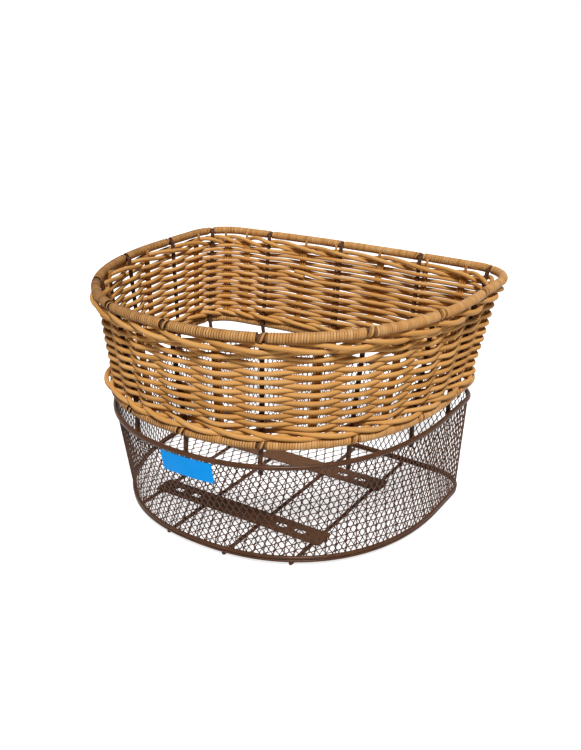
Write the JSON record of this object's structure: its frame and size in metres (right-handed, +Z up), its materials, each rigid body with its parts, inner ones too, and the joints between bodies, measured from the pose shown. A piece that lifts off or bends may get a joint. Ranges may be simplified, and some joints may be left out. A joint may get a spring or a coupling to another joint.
{
  "type": "bicycle basket",
  "caption": "D-shaped carrier basket with a woven rattan band between wrapped wire rings over an expanded steel mesh bucket with slotted floor straps.",
  "frame": {"origin": "on the ground under the middle of the rim's box", "axes": "+Z up, the straight back towards +Y, the round front towards -Y, +X to the right seen from the front"},
  "size_m": [0.389, 0.333, 0.239],
  "materials": {
    "steel": "satin brown coating",
    "mesh_steel": "satin brown coating on expanded sheet",
    "rattan": "natural rattan core, satin",
    "ribbon": "split cane ribbon, satin",
    "plate": "plain enamel"
  },
  "bodies": {
    "root": {"rim_wire": "steel", "band_foot_wire": "steel", "mid_ring_wire": "steel", "foot_wire_upper": "steel", "foot_wire_lower": "steel", "upright_01": "steel", "upright_02": "steel", "upright_03": "steel", "upright_04": "steel", "upright_05": "steel", "upright_06": "steel", "upright_07": "steel", "upright_08": "steel", "upright_09": "steel", "upright_10": "steel", "upright_11": "steel", "upright_12": "steel", "upright_13": "steel", "upright_14": "steel", "floor_rod_1": "steel", "floor_rod_2": "steel", "floor_rod_3": "steel", "floor_rod_4": "steel", "front_mounting_strap": "steel", "rear_mounting_strap": "steel", "mesh_wall": "mesh_steel", "floor_mesh": "mesh_steel", "rim_wrap": "ribbon", "band_foot_wrap": "ribbon", "bottom_wale": "rattan", "woven_field": "rattan", "top_wale": "rattan", "stake_group_01": "rattan", "stake_group_02": "rattan", "stake_group_03": "rattan", "stake_group_04": "rattan", "stake_group_05": "rattan", "stake_group_06": "rattan", "stake_group_07": "rattan", "stake_group_08": "rattan", "stake_group_09": "rattan", "stake_group_10": "rattan", "stake_group_11": "rattan", "stake_group_12": "rattan", "stake_group_13": "rattan", "stake_group_14": "rattan", "stake_group_15": "rattan", "spare_stake_1": "rattan", "spare_stake_2": "rattan", "blank_plate": "plate"}
  },
  "joints": []
}
